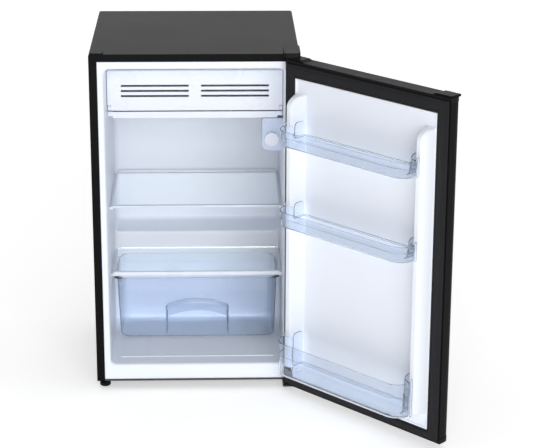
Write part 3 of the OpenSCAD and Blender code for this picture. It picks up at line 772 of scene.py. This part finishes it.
def end_plate(bm, y0, y1, z0, z1, x0, x1, corner):
    """Upright plate across the x axis with rounded edges and corners."""
    edge = 0.7 * MM
    steps = ((edge, x0), (0, x0 + edge), (0, x1 - edge), (edge, x1))
    fill_loops(bm, side_loops(y0, y1, z0, z1, corner, steps))


def make_bin(node, body, corner):
    """Door bin: a tray with a rounded foot, a low back, a tall front and a round-topped plate at each end."""
    low, high = closed_box(node)
    wall = CLEAR_WALL
    half_out, half_in = high.x, high.x - 22 * MM
    back, front = low.y, high.y
    step = back + 35 * MM
    tall = high.z - low.z - 9 * MM
    foot, back_tall = 7 * MM, 14 * MM
    rim = low.z + tall
    band = low.z + tall * 0.62      # above this height the front wall stands out a little

    def level(inset, z):
        """Loop at height z. Its back part, behind the step, is pressed down to the low back wall."""
        z_back = z
        if z > low.z + foot:
            z_back = low.z + foot + (z - low.z - foot) * (back_tall - foot) / (tall - foot)
        plan = bin_plan(half_in, half_out, back, step, front, corner, inset)
        return [(x, y, z if y > step + inset - 1 * MM else z_back) for x, y in plan]

    angles = [pi / 2 * i / 5 for i in range(6)]
    outer = [(2 * MM + foot * (1 - sin(a)), low.z + foot * (1 - cos(a))) for a in angles]
    outer += [(1.5 * MM, band - 1.2 * MM), (0.4 * MM, band), (0.2 * MM, rim - 3.5 * MM), (0, rim - 2.8 * MM),
              (0, rim - 0.8 * MM), (0.6 * MM, rim)]
    inner = [(wall - 0.4 * MM, rim), (wall + 0.2 * MM, rim - 0.7 * MM), (wall + 0.4 * MM, band),
             (wall + 1.5 * MM, band - 1.5 * MM)]
    inner += [(wall + 2 * MM + (foot - wall) * (1 - sin(a)), low.z + wall + (foot - wall) * (1 - cos(a)))
              for a in reversed(angles)]
    bm = bmesh.new()
    fill_loops(bm, [level(inset, z) for inset, z in outer + inner])
    for side in (-1, 1):
        xs = x_span(side, half_in - 0.1 * MM, half_in - wall)
        end_plate(bm, back, step, low.z + 10 * MM, high.z, xs[0], xs[1], 11 * MM)
        xs = x_span(side, half_out - 0.3 * MM, half_out + 1.6 * MM)
        ring_bar(bm, step + 0.5 * MM, step + 10 * MM, low.z + 1 * MM, high.z - 1 * MM, xs[0], xs[1],
                 2.4 * MM, 4 * MM)
    tray = add_door_object(body, bm)
    finish_piece(tray, body, "clear_bin", node)


make_bin("bin_upper", "upper_bin", 40 * MM)
make_bin("bin_middle", "middle_bin", 40 * MM)
make_bin("bin_lower", "lower_bin", 38 * MM)


def make_crisper():
    """Drawer: a tub with a sloping front, round corners and side flanges."""
    low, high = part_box("crisper_drawer")
    wall, flange, foot = CLEAR_WALL, 7 * MM, 14 * MM
    plan_corner, rim_corner = 24 * MM, 14 * MM
    half, top, tall = high.x - flange, high.z, high.z - low.z

    def plan(z, inset):
        """Loop of the tub's wall at height z. The tub narrows towards its foot."""
        t = (z - low.z) / tall
        wide = half - 4 * MM * (1 - t) - inset
        y0 = low.y + DRAWER_SLOPE * (1 - t) + inset
        y1 = high.y - 5 * MM * (1 - t) - inset
        return [(x, y, z) for x, y in round_rect(-wide, y0, wide, y1, max(plan_corner - inset, 4 * MM), 8)]

    def rim(z, out):
        """Loop of the flange at height z."""
        return [(x, y, z) for x, y in round_rect(-half - out, low.y + 1.5 * MM, half + out, high.y,
                                                 rim_corner, 8)]

    angles = [pi / 2 * i / 6 for i in range(7)]
    inner_foot = foot - wall
    loops = [plan(low.z + foot * (1 - cos(a)), foot * (1 - sin(a))) for a in angles]
    loops += [plan(low.z + tall * k / 5, 0) for k in range(1, 5)]
    loops += [plan(top - 3.6 * MM, 0), rim(top - 2.6 * MM, flange - 1 * MM), rim(top - 2 * MM, flange),
              rim(top - 0.6 * MM, flange), rim(top, flange - 0.6 * MM), plan(top, wall - 0.8 * MM),
              plan(top - 0.8 * MM, wall)]
    loops += [plan(low.z + tall * k / 5, wall) for k in range(4, 0, -1)]
    loops += [plan(low.z + wall + inner_foot * (1 - cos(a)), wall + inner_foot * (1 - sin(a)))
              for a in reversed(angles)]
    bm = bmesh.new()
    fill_loops(bm, loops)
    tub = add_object("crisper_tub", bm)
    finish_piece(tub, "crisper", "clear_bin", "crisper_drawer")


def make_pull():
    """Arched hood on the drawer's sloping front, with a rounded brow and an open underside."""
    drawer_low, drawer_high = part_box("crisper_drawer")
    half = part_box("crisper_pull")[1].x
    lean = atan2(DRAWER_SLOPE, drawer_high.z - drawer_low.z)
    foot_y = drawer_low.y + DRAWER_SLOPE
    low, spring, crown, band = 14 * MM, 100 * MM, 20 * MM, 25 * MM
    rise, rise_over, least, wall, brow = 16 * MM, 40 * MM, 2.4 * MM, CLEAR_WALL, 5 * MM
    bulge = (half * half + crown * crown) / (2 * crown)     # radius of the arch

    def outline(wide, drop, corner):
        """Half outline from the bottom of a side up to the crown, with inward directions."""
        centre = spring + crown - drop - bulge
        reach = bulge - corner
        cx = wide - corner
        cz = centre + sqrt(reach * reach - cx * cx)
        turn = atan2(cz - centre, cx)
        points = [((wide, low + (cz - low) * i / 10), (-1, 0)) for i in range(11)]
        for i in range(1, 9):
            a = turn * i / 8
            points.append(((cx + corner * cos(a), cz + corner * sin(a)), (-cos(a), -sin(a))))
        for i in range(1, 13):
            a = turn + (pi / 2 - turn) * i / 12
            points.append(((bulge * cos(a), centre + bulge * sin(a)), (-cos(a), -sin(a))))
        points += [((-x, z), (-nx, nz)) for (x, z), (nx, nz) in reversed(points[:-1])]
        return points

    outer = outline(half, 0, 12 * MM)
    inner = outline(half - 3 * MM, band, 7 * MM)

    def height(z):
        """How far the hood stands off the slope, from nearly nothing at its lower ends."""
        return max(least, rise * min(1, (z - low) / rise_over))

    def world(x, v, z):
        """Point at height z up the sloping front and v off it."""
        return (x, foot_y - v * cos(lean) - z * sin(lean), drawer_low.z - v * sin(lean) + z * cos(lean))

    sections = []
    for ((x, z), (nx, nz)), ((ix, iz), _) in zip(outer, inner):
        v = height(z)
        r = min(brow, v * 0.6)
        outside = [(0, 0), (0, v - r)]
        outside += [(r * (1 - cos(a)), v - r + r * sin(a)) for a in (pi / 2 * k / 5 for k in range(1, 6))]
        inside = [(max(r, wall), max(v - wall, 0.1 * MM)), (wall, max(v - r - 0.3 * MM, 0.05 * MM)),
                  (wall, 0)]
        section = [world(x + nx * o, h, z + nz * o) for o, h in outside]
        section += [world(ix, v - 0.2 * MM, iz), world(ix, v - wall + 0.2 * MM, iz)]
        section += [world(x + nx * o, h, z + nz * o) for o, h in inside]
        sections.append(section)
    bm = bmesh.new()
    fill_loops(bm, sections)
    hood = add_object("crisper_hood", bm)
    finish_piece(hood, "crisper", "clear_bin", "crisper_pull")


make_crisper()
make_pull()


# ---- floor and light ----

def make_stage():
    """Plain white floor that glows a little, as in a light tent."""
    size = 30
    mesh = bpy.data.meshes.new("floor")
    corners = [(-size, -size, 0), (size, -size, 0), (size, size, 0), (-size, size, 0)]
    mesh.from_pydata(corners, [], [(0, 1, 2, 3)])
    floor = link_object("floor", mesh)
    mat = new_material("floor", (0.93, 0.93, 0.93), 0.6, Emission_Color=(1, 1, 1, 1), Emission_Strength=0.45)
    bump(mat, noise(mat, 6, 2), 0.001, 0.05)
    mesh.materials.append(mat)


def add_area(name, place_at, target, size, power):
    """Soft rectangular lamp, aimed at a point."""
    data = bpy.data.lights.new(name, "AREA")
    data.shape = "RECTANGLE"
    data.size, data.size_y = size
    data.energy = power
    light = link_object(name, data)
    light.location = place_at
    aim = Vector(target) - Vector(place_at)
    light.rotation_euler = aim.to_track_quat("-Z", "Y").to_euler()


def make_world(strength):
    """Even white light from all round."""
    world = bpy.data.worlds.new("studio")
    world.use_nodes = True
    background = world.node_tree.nodes["Background"]
    background.inputs["Color"].default_value = (1, 1, 1, 1)
    background.inputs["Strength"].default_value = strength
    bpy.context.scene.world = world


make_stage()
add_area("front", (0.7, -4.5, 1.6), (0, 0, 0.45), (3.0, 2.6), 108)
add_area("top", (0, 1.0, 5.0), (0, 1.0, 0), (8, 8), 110)
add_area("back", (0, 6.0, 2.6), (0, 0, 0.6), (8, 3), 80)
make_world(0.2)
bpy.context.scene.view_settings.view_transform = "Standard"
